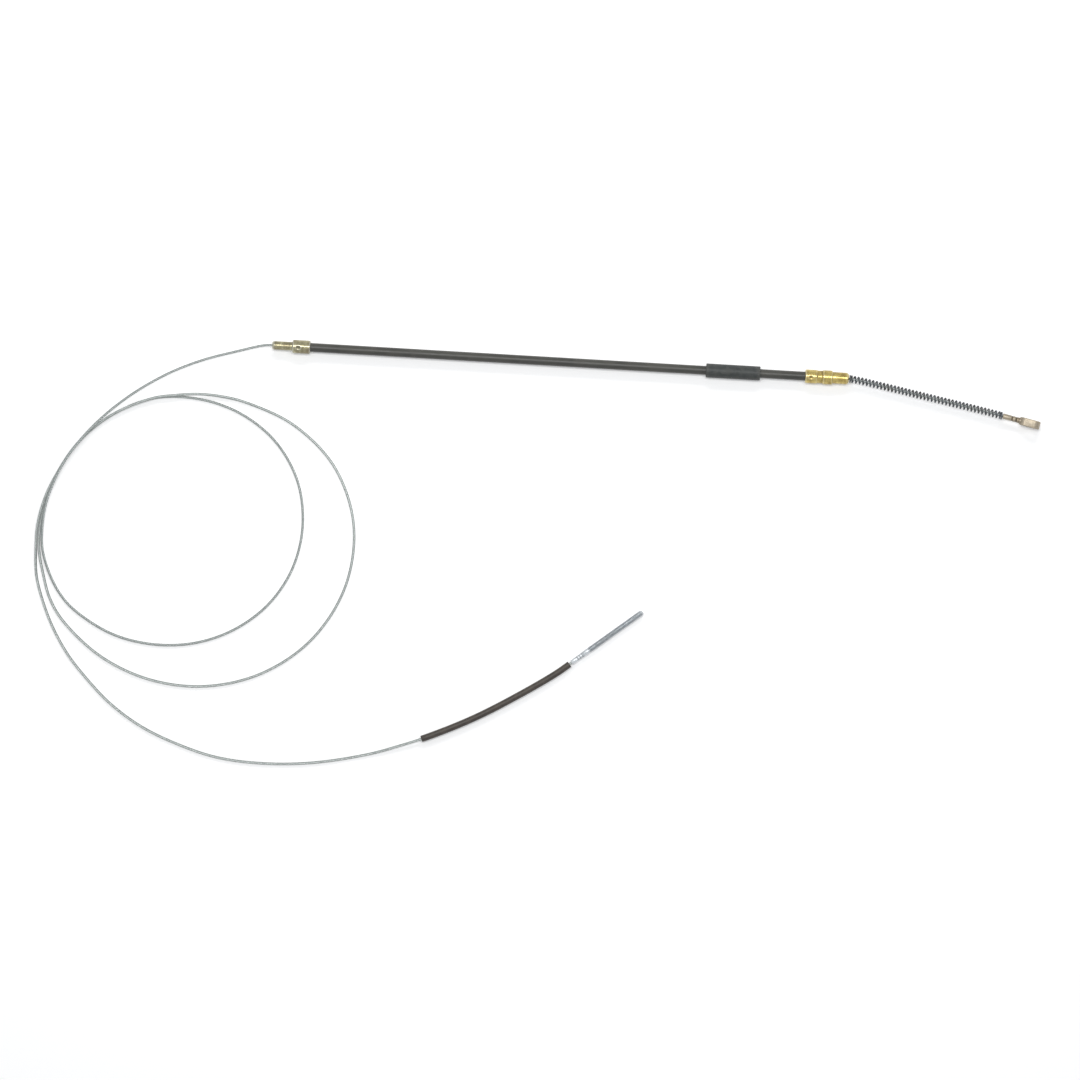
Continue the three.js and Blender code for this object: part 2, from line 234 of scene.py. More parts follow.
def addRamp(tree, factor, stops):
    ramp = tree.nodes.new("ShaderNodeValToRGB")
    elements = ramp.color_ramp.elements
    while len(elements) < len(stops):
        elements.new(0.5)
    for element, (position, colour) in zip(elements, stops):
        element.position = position
        element.color = (*colour, 1)
    tree.links.new(factor, ramp.inputs["Fac"])
    return ramp.outputs["Color"]


def addMath(tree, kind, first, second=None):
    node = tree.nodes.new("ShaderNodeMath")
    node.operation = kind
    for socket, value in zip(node.inputs, (first, second)):
        if value is None:
            continue
        if isinstance(value, (int, float)):
            socket.default_value = value
        else:
            tree.links.new(value, socket)
    return node.outputs[0]


def addRange(tree, factor, low, high, start=0.0, end=1.0):
    span = tree.nodes.new("ShaderNodeMapRange")
    span.inputs["From Min"].default_value = start
    span.inputs["From Max"].default_value = end
    span.inputs["To Min"].default_value = low
    span.inputs["To Max"].default_value = high
    tree.links.new(factor, span.inputs["Value"])
    return span.outputs["Result"]


def addMix(tree, factor, first, second):
    # Two colours mixed, the second one given as a value
    mix = tree.nodes.new("ShaderNodeMix")
    mix.data_type = "RGBA"
    tree.links.new(factor, mix.inputs["Factor"])
    tree.links.new(first, mix.inputs["A"])
    mix.inputs["B"].default_value = (*second, 1)
    return mix.outputs["Result"]


def finishMaterial(name, settings):
    # Colour from two or three tones, roughness from a second noise, fine relief from a third
    material = bpy.data.materials.new(name)
    tree, shader = nodesOf(material)
    shader.inputs["Metallic"].default_value = settings["metallic"]
    tones = settings["tones"]
    stops = [(0.3 + 0.4 * i / (len(tones) - 1), tone) for i, tone in enumerate(tones)]
    stretch = settings.get("stretch")
    colour = addRamp(tree, addNoise(tree, settings["toneScale"], stretch=stretch), stops)
    gloss = addRange(tree, addNoise(tree, settings["glossScale"], 6.0, stretch), *settings["roughness"])
    if "stain" in settings:
        stain, scale, amount = settings["stain"]
        patches = addRange(tree, addNoise(tree, scale, 5.0, distortion=0.6), 0.0, amount, 0.45, 0.68)
        colour = addMix(tree, patches, colour, stain)
        gloss = addMath(tree, "ADD", gloss, addMath(tree, "MULTIPLY", patches, 0.25))
    if "worn" in settings:
        # Rubbed edges are bright and smooth; corners get painted shade, a darker colour, and are made rougher
        edge = tree.nodes.new("ShaderNodeAttribute")
        edge.attribute_name = "edge"
        broken = addMath(tree, "MULTIPLY", addNoise(tree, 900, 5.0), 1.6)
        sharp = addRange(tree, edge.outputs["Fac"], 0.0, 0.5, 0.18, 0.45)
        rubbed = addMath(tree, "MULTIPLY", sharp, broken)
        # painted shade: this mask darkens concave corners towards the given corner colour and raises their
        # roughness
        cornerShadeMask = addRange(tree, edge.outputs["Fac"], 0.75, 0.0, -0.35, -0.02)
        colour = addMix(tree, rubbed, colour, settings["worn"])
        colour = addMix(tree, cornerShadeMask, colour, settings["cornerShade"])
        gloss = addMath(tree, "ADD", gloss, addMath(tree, "MULTIPLY", cornerShadeMask, 0.3))
    tree.links.new(colour, shader.inputs["Base Color"])
    tree.links.new(gloss, shader.inputs["Roughness"])
    relief = addNoise(tree, settings["grainScale"], 3.0, stretch)
    addBump(tree, shader, relief, settings["grainStrength"], settings["grainDepth"])
    return material


def dress(piece, material, body=None, replaces=()):
    piece.data.materials.clear()
    piece.data.materials.append(material)
    if body:
        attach(piece, body)
    if replaces:
        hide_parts(*replaces)


# Wire: a strand of six outer wires round a core, its lay drawn by a twisted section

strandSettings = {
    "lay": 0.0175,
    "ring": 0.0013,
    "wires": 6,
    "pointsPerWire": 5,
    "metallic": 0.85,
    "tones": [(0.19, 0.21, 0.20), (0.28, 0.30, 0.29), (0.38, 0.40, 0.385)],
    "toneScale": 900,
    "glossScale": 2500,
    "roughness": (0.28, 0.48),
    "grainScale": 3500,
    "grainStrength": 0.35,
    "grainDepth": 0.0001,
}

cordRoute = [
    (0.006, 0, 0.00705), (-0.007, -0.0005, 0.00705), (-0.034, -0.0079, 0.007),
    (-0.0675, -0.0185, 0.0069), (-0.096, -0.031, 0.00691), (-0.12, -0.045, 0.00691),
    (-0.141, -0.06, 0.00691), (-0.159, -0.0755, 0.00691), (-0.175, -0.092, 0.00691),
    (-0.189, -0.1095, 0.00691), (-0.201, -0.128, 0.00691), (-0.21, -0.1485, 0.0067),
    (-0.2164, -0.17, 0.0064), (-0.219, -0.193, 0.0053), (-0.218, -0.216, 0.0036),
    (-0.2105, -0.2385, 0.0022), (-0.199, -0.259, 0.00131), (-0.183, -0.2755, 0.00131),
    (-0.1435, -0.2975, 0.00131), (-0.101, -0.3055, 0.00131), (-0.0595, -0.3015, 0.00131),
    (-0.021, -0.2855, 0.00131), (0.0115, -0.258, 0.00131), (0.033, -0.221, 0.00131),
    (0.0405, -0.1775, 0.00131), (0.0325, -0.1335, 0.00131), (0.008, -0.0955, 0.00131),
    (-0.029, -0.0695, 0.00131), (-0.072, -0.0577, 0.00131), (-0.1165, -0.06, 0.00131),
    (-0.1565, -0.079, 0.00131), (-0.189, -0.109, 0.00131), (-0.211, -0.148, 0.00131),
    (-0.218, -0.17, 0.00131), (-0.2216, -0.193, 0.00131), (-0.2215, -0.217, 0.00131),
    (-0.216, -0.241, 0.00131), (-0.208, -0.265, 0.00131), (-0.194, -0.2865, 0.00131),
    (-0.1545, -0.32, 0.00131), (-0.105, -0.3405, 0.00131), (-0.049, -0.3445, 0.00131),
    (0.0075, -0.3285, 0.00131), (0.056, -0.2915, 0.00131), (0.0865, -0.237, 0.00131),
    (0.0915, -0.175, 0.00131), (0.069, -0.118, 0.00131), (0.026, -0.0785, 0.00131),
    (-0.0235, -0.0585, 0.0014), (-0.0475, -0.054, 0.0023), (-0.0715, -0.053, 0.0034),
    (-0.0945, -0.0555, 0.00411), (-0.1165, -0.0598, 0.00411), (-0.1567, -0.079, 0.00411),
    (-0.189, -0.109, 0.00411), (-0.2115, -0.148, 0.00395), (-0.2196, -0.1697, 0.0038),
    (-0.2242, -0.193, 0.0033), (-0.2245, -0.2175, 0.0028), (-0.2225, -0.243, 0.0016),
    (-0.2145, -0.269, 0.00131), (-0.203, -0.2945, 0.00131), (-0.187, -0.32, 0.00131),
    (-0.1665, -0.3435, 0.00131), (-0.1415, -0.367, 0.00131), (-0.1105, -0.3875, 0.00131),
    (-0.074, -0.403, 0.00131), (-0.0325, -0.4145, 0.00131), (0.0135, -0.418, 0.00131),
    (0.064, -0.4145, 0.00131), (0.1185, -0.403, 0.00131), (0.15, -0.3925, 0.0028),
    (0.1785, -0.3815, 0.0034), (0.222, -0.361, 0.0034), (0.2635, -0.3368, 0.0034),
    (0.3028, -0.3109, 0.0033), (0.3201, -0.297, 0.0032),
]


def strandSection(name, radius):
    # Six round wires in a ring seen end on
    settings = strandSettings
    centre = radius * 2 / 3
    wire = radius / 3
    data = bpy.data.curves.new(name, "CURVE")
    data.dimensions = "2D"
    total = settings["wires"] * settings["pointsPerWire"]
    line = data.splines.new("POLY")
    line.points.add(total - 1)
    for n, point in enumerate(line.points):
        angle = 2 * math.pi * n / total
        inLobe = (angle + math.pi / settings["wires"]) % (2 * math.pi / settings["wires"])
        offset = inLobe - math.pi / settings["wires"]
        beside = centre * math.sin(offset)
        reach = centre * math.cos(offset) + math.sqrt(max(wire ** 2 - beside ** 2, 0))
        point.co = (reach * math.cos(angle), reach * math.sin(angle), 0, 1)
    line.use_cyclic_u = True
    section = bpy.data.objects.new(name, data)
    scene.collection.objects.link(section)
    return section


def strandPiece(name, points, length):
    section = strandSection(name + "_section", wireRadius)
    turns = length / strandSettings["lay"]
    tilts = [2 * math.pi * turns * i / (len(points) - 1) for i in range(len(points))]
    piece = sweptPiece(name, points, profile=section, tilts=tilts, sharpAngle=180)
    bpy.data.objects.remove(section)
    return piece


strandMaterial = finishMaterial("galvanisedStrand", strandSettings)

cordPoints, cordLength = splinePoints([placed(k) for k in cordRoute], strandSettings["ring"])
freeWire = strandPiece("free_wire", cordPoints, cordLength)
dress(freeWire, strandMaterial, "wire", ["wire_free_run"])
print("free wire", round(cordLength, 3), "m")

# The straight core in the conduit, and the tail, drawn bent, out of the rear end
corePoints, coreLength = splinePoints([placed((x, 0, axisHeight)) for x in (0.575, 0.3, 0.006)], 0.002)
core = strandPiece("core_wire", corePoints, coreLength)
dress(core, strandMaterial, "wire", ["inner_wire"])

tailKnots = [
    (0.577, 0), (0.590, -0.0017), (0.614, -0.006),
    (0.659, -0.0143), (0.705, -0.0228), (0.733, -0.0283),
]
fittingAngle = math.radians(-11.8)
fittingStart = placed((*tailKnots[-1], axisHeight))
fittingAlong = Vector((math.cos(fittingAngle), math.sin(fittingAngle), 0))
tailLine = [placed((x, y, axisHeight)) for x, y in tailKnots] + [fittingStart + fittingAlong * 0.0137]
tailPoints, tailLength = splinePoints(tailLine, 0.0005)
insidePoints = [placed((x, 0, axisHeight)) for x in (0.545, 0.555, 0.566)]
tailRopePoints, tailRopeLength = splinePoints(insidePoints + tailLine, strandSettings["ring"])
tailWire = strandPiece("tail_wire", tailRopePoints, tailRopeLength)
dress(tailWire, strandMaterial, None)
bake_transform(tailWire)
print("core and tail")

# Return spring: a helix of drawn wire along the tail, with closed end turns

springSettings = {
    "radius": 0.0033,
    "wire": 0.0007,
    "turns": 43.5,
    "closedTurns": 1.25,
    "closedPitch": 0.00175,
    "pointsPerTurn": 22,
    "metallic": 0.9,
    "tones": [(0.05, 0.055, 0.06), (0.09, 0.097, 0.105), (0.15, 0.16, 0.17)],
    "stain": ((0.07, 0.055, 0.04), 90, 0.6),
    "toneScale": 700,
    "glossScale": 2200,
    "roughness": (0.25, 0.45),
    "grainScale": 3000,
    "grainStrength": 0.3,
    "grainDepth": 0.00008,
}


def springPiece():
    s = springSettings
    start = s["wire"] + 0.0003
    end = tailLength - 0.0137 - s["wire"] - 0.0003
    spacing = tailLength / (len(tailPoints) - 1)
    openTurns = s["turns"] - 2 * s["closedTurns"]
    openLength = end - start - 2 * s["closedTurns"] * s["closedPitch"]
    points = []
    count = round(s["turns"] * s["pointsPerTurn"])
    for n in range(count + 1):
        turn = s["turns"] * n / count
        closed = min(turn, s["closedTurns"]) + max(0.0, turn - s["turns"] + s["closedTurns"])
        opened = min(max(turn - s["closedTurns"], 0), openTurns)
        distance = start + closed * s["closedPitch"] + opened / openTurns * openLength
        index = min(int(distance / spacing), len(tailPoints) - 2)
        centre = tailPoints[index].lerp(tailPoints[index + 1], distance / spacing - index)
        along = (tailPoints[index + 1] - tailPoints[index]).normalized()
        side = Vector((-along.y, along.x, 0))
        angle = 2 * math.pi * turn
        across, above = s["radius"] * math.cos(angle), s["radius"] * math.sin(angle)
        points.append(centre + side * across + Vector((0, 0, above)))
    return sweptPiece("spring", points, radius=s["wire"], sides=4)


spring = springPiece()
springMaterial = finishMaterial("drawnSpringSteel", springSettings)
dress(spring, springMaterial, None, ["return_spring"])
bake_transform(spring)
print("return spring")

# Conduit cover: extruded jacket with the spiral showing through as faint ribs

coverSettings = {
    "start": 0.0244,
    "end": 0.5471,
    "inner": 0.00335,
    "outer": 0.00445,
    "edge": 0.0001,
    "spans": 90,
    "steps": 64,
    "metallic": 0.0,
    "tones": [(0.026, 0.026, 0.022), (0.036, 0.035, 0.029), (0.048, 0.047, 0.039)],
    "stain": ((0.075, 0.072, 0.062), 60, 0.45),
    "toneScale": 120,
    "glossScale": 500,
    "roughness": (0.33, 0.46),
    "grainScale": 2600,
    "grainStrength": 0.12,
    "grainDepth": 0.00005,
    "stretch": (0.25, 1, 1),
    "ribPitch": 0.0014,
    "ribStrength": 0.35,
    "ribDepth": 0.00003,
}


def aboutAxis(tree):
    # Distance along the conduit and angle round it, from object coordinates
    place = tree.nodes.new("ShaderNodeTexCoord").outputs["Object"]
    parts = tree.nodes.new("ShaderNodeSeparateXYZ")
    tree.links.new(place, parts.inputs[0])
    across = addMath(tree, "SUBTRACT", parts.outputs["Y"], mouth.y)
    above = addMath(tree, "SUBTRACT", parts.outputs["Z"], axisHeight)
    return parts.outputs["X"], addMath(tree, "ARCTAN2", above, across)


def addSpiralRibs(material, pitch, strength, depth):
    tree, shader = nodesOf(material)
    along, angle = aboutAxis(tree)
    phase = addMath(tree, "ADD", addMath(tree, "MULTIPLY", along, 2 * math.pi / pitch), angle)
    wave = addMath(tree, "SINE", phase)
    fade = addRange(tree, addNoise(tree, 14, 2.0), 0.0, 1.0)
    ribs = tree.nodes.new("ShaderNodeBump")
    ribs.inputs["Strength"].default_value = strength
    ribs.inputs["Distance"].default_value = depth
    tree.links.new(addMath(tree, "MULTIPLY", wave, fade), ribs.inputs["Height"])
    before = shader.inputs["Normal"].links[0].from_socket
    tree.links.new(before, ribs.inputs["Normal"])
    tree.links.new(ribs.outputs["Normal"], shader.inputs["Normal"])


def coverPiece():
    s = coverSettings
    outline = [(s["start"], s["inner"]), (s["start"], s["outer"])]
    span = (s["end"] - s["start"]) / s["spans"]
    outline += [(s["start"] + span * i, s["outer"]) for i in range(1, s["spans"])]
    outline += [(s["end"], s["outer"]), (s["end"], s["inner"])]
    bm = spunMesh(outline, s["steps"], s["edge"])
    bmesh.ops.translate(bm, verts=bm.verts, vec=placed((0, 0, axisHeight)))
    return finishMesh(bm, "cover")


cover = coverPiece()
coverMaterial = finishMaterial("jacketPlastic", coverSettings)
ribValues = [coverSettings[key] for key in ("ribPitch", "ribStrength", "ribDepth")]
addSpiralRibs(coverMaterial, *ribValues)
dress(cover, coverMaterial, "conduit", ["conduit_cover"])
print("conduit cover")

# Ferrules: turned steel, crimped on the conduit, with punched dents

frontSettings = {
    "bore": 0.00225,
    "socket": 0.00475,
    "noseRadius": 0.00425,
    "noseEnd": 0.0203,
    "barrelRadius": 0.00665,
    "barrelEnd": 0.0381,
    "socketX": 0.0241,
    "steps": 96,
    "spacing": 0.0006,
    "dentX": 0.0262,
    "dentTurns": (-10, 110, 230),
    "dentRadius": 0.0032,
    "dentDepth": 0.0011,
    "edge": 0.00012,
    "metallic": 0.9,
    "tones": [(0.20, 0.18, 0.11), (0.31, 0.285, 0.175), (0.42, 0.40, 0.27)],
    "stain": ((0.17, 0.135, 0.085), 130, 0.7),
    "worn": (0.62, 0.61, 0.54),
    # colour of the painted shade in corners and dents
    "cornerShade": (0.07, 0.062, 0.045),
    "toneScale": 260,
    "glossScale": 900,
    "roughness": (0.15, 0.32),
    "grainScale": 2400,
    "grainStrength": 0.2,
    "grainDepth": 0.00005,
    "stretch": (1, 0.35, 0.35),
}

rearSettings = {
    "bore": 0.00225,
    "socket": 0.00475,
    "start": 0.5334,
    "socketX": 0.5474,
    "barrelRadius": 0.00685,
    "waistStart": 0.5446,
    "waistEnd": 0.5518,
    "waistSlope": 0.0016,
    "waistRadius": 0.00635,
    "collarRadius": 0.00705,
    "shoulder": 0.5605,
    "noseRadius": 0.0058,
    "noseChamfer": 0.0016,
    "steps": 96,
    "spacing": 0.0006,
    "dentX": 0.5392,
    "dentTurns": (-10, 110, 230),
    "dentRadius": 0.0034,
    "dentDepth": 0.0008,
    "edge": 0.00012,
    "metallic": 0.9,
    "tones": [(0.30, 0.215, 0.07), (0.46, 0.35, 0.12), (0.58, 0.47, 0.17)],
    "stain": ((0.22, 0.16, 0.05), 140, 0.7),
    "worn": (0.78, 0.70, 0.42),
    # colour of the painted shade in corners and dents
    "cornerShade": (0.09, 0.07, 0.03),
    "toneScale": 220,
    "glossScale": 900,
    "roughness": (0.14, 0.30),
    "grainScale": 2400,
    "grainStrength": 0.2,
    "grainDepth": 0.00005,
    "stretch": (1, 0.35, 0.35),
}


def filled(outline, spacing):
    # The outline with extra points, so that dents have vertices to move
    result = []
    for (x1, r1), (x2, r2) in zip(outline, outline[1:] + outline[:1]):
        count = max(1, round(math.hypot(x2 - x1, r2 - r1) / spacing))
        result += [(x1 + (x2 - x1) * i / count, r1 + (r2 - r1) * i / count) for i in range(count)]
    return result


def pressDents(bm, s):
    # Rounded pockets, pushed in as far as a ball reaches below the surface
    outer = s["barrelRadius"]
    reach = outer + s["dentRadius"] - s["dentDepth"]
    for turn in s["dentTurns"]:
        angle = math.radians(turn)
        ball = Vector((s["dentX"], reach * math.sin(angle), reach * math.cos(angle)))
        for v in bm.verts:
            depth = s["dentRadius"] - (v.co - ball).length
            if depth > 0:
                v.co -= Vector((0, v.co.y, v.co.z)).normalized() * depth


def ferrulePiece(name, outline, s):
    bm = spunMesh(filled(outline, s["spacing"]), s["steps"])
    pressDents(bm, s)
    roundEdges(bm, 28, s["edge"])
    bmesh.ops.translate(bm, verts=bm.verts, vec=placed((0, 0, axisHeight)))
    return finishMesh(bm, name)


def frontOutline():
    s = frontSettings
    return [
        (0, s["bore"] + 0.0003), (0, s["noseRadius"] - 0.0012), (0.0003, s["noseRadius"] - 0.0007),
        (0.0009, s["noseRadius"] - 0.0003), (0.0018, s["noseRadius"]), (s["noseEnd"] - 0.0002, s["noseRadius"]),
        (s["noseEnd"], s["noseRadius"] + 0.0003), (s["noseEnd"], s["barrelRadius"] - 0.0006),
        (s["noseEnd"] + 0.0006, s["barrelRadius"]), (s["barrelEnd"] - 0.0007, s["barrelRadius"]),
        (s["barrelEnd"] - 0.0002, s["barrelRadius"] - 0.0004), (s["barrelEnd"], s["barrelRadius"] - 0.0008),
        (s["barrelEnd"], s["socket"]), (s["socketX"], s["socket"]), (s["socketX"], s["bore"]),
        (0.0006, s["bore"]),
    ]


def rearOutline():
    s = rearSettings
    return [
        (s["start"], s["socket"]), (s["start"], s["barrelRadius"] - 0.0009),
        (s["start"] + 0.0003, s["barrelRadius"] - 0.0003), (s["start"] + 0.0009, s["barrelRadius"]),
        (s["waistStart"], s["barrelRadius"]), (s["waistStart"] + s["waistSlope"], s["waistRadius"]),
        (s["waistEnd"] - s["waistSlope"], s["waistRadius"]), (s["waistEnd"], s["collarRadius"]),
        (s["shoulder"] - 0.0003, s["collarRadius"]), (s["shoulder"], s["collarRadius"] - 0.0003),
        (s["shoulder"], s["noseRadius"] + 0.0002), (s["shoulder"] + 0.0002, s["noseRadius"]),
        (rearEnd - s["noseChamfer"], s["noseRadius"]), (rearEnd, s["noseRadius"] - s["noseChamfer"]),
        (rearEnd, s["bore"] + 0.0003), (rearEnd - 0.0005, s["bore"]), (s["socketX"], s["bore"]),
        (s["socketX"], s["socket"]),
    ]


frontFerrule = ferrulePiece("front_end", frontOutline(), frontSettings)
frontMaterial = finishMaterial("zincPlate", frontSettings)
dress(frontFerrule, frontMaterial, "conduit", ["front_ferrule"])
rearFerrule = ferrulePiece("rear_end", rearOutline(), rearSettings)
rearMaterial = finishMaterial("yellowPassivate", rearSettings)
dress(rearFerrule, rearMaterial, "conduit", ["rear_ferrule"])
print("ferrules")

# Rubber sleeve, cut from moulded tube

rubberSettings = {
    "start": 0.4342,
    "end": 0.4883,
    "inner": 0.00475,
    "outer": 0.00705,
    "edge": 0.0004,
    "spacing": 0.003,
    "steps": 96,
    "metallic": 0.0,
    "tones": [(0.014, 0.017, 0.016), (0.022, 0.026, 0.025), (0.034, 0.037, 0.034)],
    "stain": ((0.07, 0.072, 0.066), 150, 0.5),
    "worn": (0.075, 0.075, 0.068),
    # colour of the painted shade in corners
    "cornerShade": (0.012, 0.012, 0.011),
    "toneScale": 180,
    "glossScale": 420,
    "roughness": (0.42, 0.6),
    "grainScale": 1800,
    "grainStrength": 0.3,
    "grainDepth": 0.00008,
}


def sleevePiece():
    s = rubberSettings
    start, end = s["start"], s["end"]
    outline = [(start, s["inner"]), (start, s["outer"]), (end, s["outer"]), (end, s["inner"])]
    bm = spunMesh(filled(outline, s["spacing"]), s["steps"])
    roundEdges(bm, 50, s["edge"], 3)
    bmesh.ops.translate(bm, verts=bm.verts, vec=placed((0, 0, axisHeight)))
    return finishMesh(bm, "rubber_sleeve")


rubberSleeve = sleevePiece()
rubberMaterial = finishMaterial("mouldedRubber", rubberSettings)
dress(rubberSleeve, rubberMaterial, "conduit", ["conduit_sleeve"])
print("rubber sleeve")

# Brown plastic sleeve on the wire, a tube with a bore

rodSleeveSettings = {
    "radius": 0.00325,
    "length": 0.169,
    "wall": 0.0015,
    "inSocket": 0.0043,
    "edge": 0.00018,
    "metallic": 0.0,
    "tones": [(0.024, 0.018, 0.013), (0.036, 0.028, 0.021), (0.052, 0.041, 0.031)],
    "stain": ((0.085, 0.07, 0.056), 110, 0.5),
    "toneScale": 160,
    "glossScale": 500,
    "roughness": (0.36, 0.52),
    "grainScale": 2200,
    "grainStrength": 0.2,
    "grainDepth": 0.00006,
}


def rodSleevePiece():
    s = rodSleeveSettings
    spacing = cordLength / (len(cordPoints) - 1)
    last = len(cordPoints) - 1 - round(s["inSocket"] / spacing)
    first = last - round(s["length"] / spacing)
    points = cordPoints[first:last + 1:4]
    outer = sweptPiece("brown_sleeve_outside", points, radius=s["radius"], sides=10, caps=False)
    bm = bmesh.new()
    bm.from_mesh(outer.data)
    bpy.data.objects.remove(outer)
    bmesh.ops.solidify(bm, geom=bm.faces[:], thickness=s["wall"])
    bmesh.ops.recalc_face_normals(bm, faces=bm.faces)
    roundEdges(bm, 60, s["edge"])
    return finishMesh(bm, "brown_sleeve")


brownSleeve = rodSleevePiece()
brownMaterial = finishMaterial("brownPlastic", rodSleeveSettings)
dress(brownSleeve, brownMaterial, "wire", ["rod_sleeve"])
print("brown sleeve")

# Threaded rod: swaged socket with press marks, plain neck, rolled metric thread

rodSettings = {
    "start": (0.317, -0.2995, 0.0032),
    "angle": 38.8,
    "bore": 0.00155,
    "socketRadius": 0.00235,
    "socketEnd": 0.0026,
    "socketLength": 0.0157,
    "grooves": (0.0074, 0.0102, 0.0130),
    "grooveDepth": 0.00022,
    "grooveHalf": 0.0007,
    "neckRadius": 0.00268,
    "neckLength": 0.0052,
    "radius": 0.002975,
    "rootRadius": 0.00242,
    "pitch": 0.001,
    "length": 0.0873,
    "threadSteps": 28,
    "chamfer": 0.0009,
    "runOut": 0.0013,
    "metallic": 0.92,
    "tones": [(0.32, 0.345, 0.365), (0.44, 0.465, 0.485), (0.56, 0.585, 0.60)],
    "stain": ((0.26, 0.27, 0.27), 160, 0.5),
    "worn": (0.72, 0.74, 0.75),
    # colour of the painted shade in thread roots, grooves and corners
    "cornerShade": (0.20, 0.21, 0.215),
    "toneScale": 300,
    "glossScale": 1200,
    "roughness": (0.2, 0.36),
    "grainScale": 2600,
    "grainStrength": 0.2,
    "grainDepth": 0.00005,
}


def alongRod(bm):
    s = rodSettings
    turned = Matrix.Rotation(math.radians(s["angle"]), 3, "Z")
    bmesh.ops.rotate(bm, verts=bm.verts, cent=(0, 0, 0), matrix=turned)
    bmesh.ops.translate(bm, verts=bm.verts, vec=placed(s["start"]))


def grooved(positions, radiusAt, depth, half):
    points = []
    for x in positions:
        for share, sink in ((-1, 0), (-0.6, 0.55), (-0.25, 1), (0.25, 1), (0.6, 0.55), (1, 0)):
            points.append((x + share * half, radiusAt(x) - depth * sink))
    return points


def socketPiece():
    s = rodSettings

    def widen(x):
        return s["socketRadius"] + (s["socketEnd"] - s["socketRadius"]) * x / s["socketLength"]

    outline = [(0.006, s["bore"]), (0, s["bore"]), (0, s["socketRadius"] - 0.0002)]
    outline += [(0.0003, s["socketRadius"])]
    outline += grooved(s["grooves"], widen, s["grooveDepth"], s["grooveHalf"])
    neckEnd = s["socketLength"] + s["neckLength"]
    outline += [(s["socketLength"] - 0.0002, s["socketEnd"]), (s["socketLength"], s["neckRadius"])]
    outline += [(neckEnd, s["neckRadius"]), (neckEnd, 0.0008), (0.006, 0.0008)]
    bm = spunMesh(outline, 64)
    alongRod(bm)
    return finishMesh(bm, "rod_socket")


def threadPiece():
    s = rodSettings
    neckEnd = s["socketLength"] + s["neckLength"]
    turns = int((s["length"] - neckEnd - 0.0012) / s["pitch"])
    bm = bmesh.new()
    start = neckEnd - s["pitch"]
    root, crest = s["rootRadius"], s["radius"]
    tooth = [(0, root), (0.42, crest), (0.55, crest), (0.97, root), (1.0, root)]
    verts = [bm.verts.new((start + share * s["pitch"], 0, radius)) for share, radius in tooth]
    edges = [bm.edges.new(pair) for pair in zip(verts, verts[1:])]
    steps = s["threadSteps"] * (turns + 1)
    bmesh.ops.spin(bm, geom=verts + edges, cent=(0, 0, 0), axis=(1, 0, 0), steps=steps,
                   angle=2 * math.pi * (turns + 1), dvec=(s["pitch"] / s["threadSteps"], 0, 0))
    bmesh.ops.remove_doubles(bm, verts=bm.verts, dist=2e-6)
    tip = s["length"] - s["chamfer"]
    for v in bm.verts:
        radial = math.hypot(v.co.y, v.co.z)
        low = s["rootRadius"] - 0.00005
        share = smoothStep((v.co.x - neckEnd) / s["runOut"]) * smoothStep((tip - v.co.x) / s["runOut"])
        wanted = low + (radial - low) * share
        v.co.y *= wanted / radial
        v.co.z *= wanted / radial
    for x, outward in ((neckEnd - 0.0002, -1), (tip + 0.0001, 1)):
        bmesh.ops.bisect_plane(bm, geom=bm.verts[:] + bm.edges[:] + bm.faces[:], plane_co=(x, 0, 0),
                               plane_no=(outward, 0, 0), clear_outer=True)
    alongRod(bm)
    return finishMesh(bm, "rod_thread", 30)


def rodCorePiece():
    s = rodSettings
    neckEnd = s["socketLength"] + s["neckLength"]
    start, tip = neckEnd - 0.0004, s["length"] - s["chamfer"] + 0.0002
    core = s["rootRadius"] - 0.00002
    outline = [(start, 0), (start, core), (tip, core)]
    outline += [(s["length"], s["rootRadius"] - 0.0005), (s["length"], 0)]
    bm = spunMesh(outline, 56, closed=False)
    bmesh.ops.remove_doubles(bm, verts=bm.verts, dist=1e-6)
    alongRod(bm)
    return finishMesh(bm, "rod_core")


rodSocket = socketPiece()
rodThread = threadPiece()
rodCore = rodCorePiece()
rodMaterial = finishMaterial("brightSteel", rodSettings)
dress(rodSocket, rodMaterial, "wire")
dress(rodThread, rodMaterial, "wire", ["threaded_rod"])
dress(rodCore, rodMaterial, "wire")
print("threaded rod")

# End fitting: swaged stem and slotted eye, passivated brown

eyeSettings = {
    "bore": 0.00155,
    "stemLength": 0.0174,
    "stemRadius": 0.00275,
    "crimps": (0.0096, 0.0138),
    "crimpDepth": 0.00035,
    "crimpHalf": 0.0012,
    "edge": 0.0006,
    "length": 0.0209,
    "width": 0.0078,
    "height": 0.0124,
    "wall": 0.003,
    "shoulder": 0.0042,
    "arcSteps": 20,
    "metallic": 0.85,
    "tones": [(0.13, 0.105, 0.07), (0.205, 0.163, 0.108), (0.28, 0.222, 0.148)],
    "stain": ((0.14, 0.11, 0.075), 150, 0.7),
    "worn": (0.56, 0.50, 0.40),
    # colour of the painted shade in crimps and corners
    "cornerShade": (0.06, 0.048, 0.033),
    "toneScale": 240,
    "glossScale": 900,
    "roughness": (0.3, 0.5),
    "grainScale": 1900,
    "grainStrength": 0.3,
    "grainDepth": 0.00008,
}


def stadium(start, end, radius, steps):
    # A slot shape in the XZ plane, from its left end round to its right end
    points = []
    for centre, first in ((start + radius, 90), (end - radius, -90)):
        for i in range(steps + 1):
            angle = math.radians(first + 180 * i / steps)
            points.append((centre + radius * math.cos(angle), radius * math.sin(angle)))
    return points


